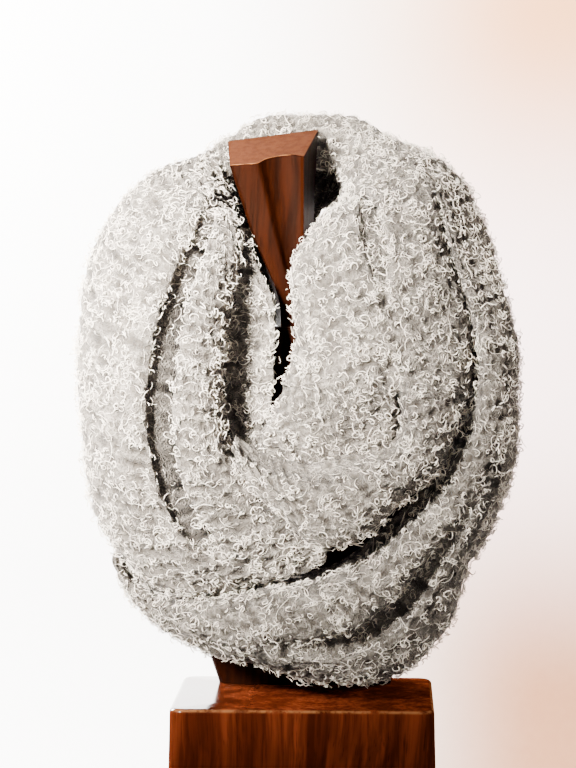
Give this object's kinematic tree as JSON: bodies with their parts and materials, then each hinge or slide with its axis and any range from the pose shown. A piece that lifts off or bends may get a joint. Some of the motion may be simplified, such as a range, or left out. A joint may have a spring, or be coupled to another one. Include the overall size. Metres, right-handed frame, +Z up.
{
  "type": "infinity scarf on a limbless wooden bust display stand",
  "caption": "Loopy knit infinity scarf wound twice round a small wooden neck-and-torso bust that stands on a tapered block.",
  "frame": {"origin": "middle of the block's flat underside, where the stand rests", "axes": "+X to the right seen from the front, +Y to the back, +Z up"},
  "size_m": [0.2983, 0.2042, 0.4925],
  "materials": {
    "loopy_knit": "thick open knit of pale oatmeal bouclé yarn, curled loops over a fuzzy greige ground, matt with a soft sheen at its edges",
    "block_wood": "dark red-brown wood with straight upright grain, glossy varnish, worn paler along the top front edge",
    "bust_wood": "warm red-brown carved wood, satin varnish, streaked grain, paler and duller on the cut top of the neck"
  },
  "bodies": {
    "root": {"base_block": "block_wood", "bust_torso": "bust_wood", "bust_neck": "bust_wood", "turn_one_left_outer": "loopy_knit", "turn_one_left_inner": "loopy_knit", "turn_one_behind_neck": "loopy_knit", "turn_one_right_inner": "loopy_knit", "turn_one_right_outer": "loopy_knit", "turn_one_right_tuck": "loopy_knit", "front_roll": "loopy_knit", "turn_two_right_upper": "loopy_knit", "turn_two_right_lower": "loopy_knit", "turn_two_front_upper": "loopy_knit", "turn_two_front_lower": "loopy_knit", "turn_two_front_end": "loopy_knit", "turn_two_left": "loopy_knit", "turn_two_back": "loopy_knit", "inner_layer_left": "loopy_knit"}
  },
  "joints": []
}
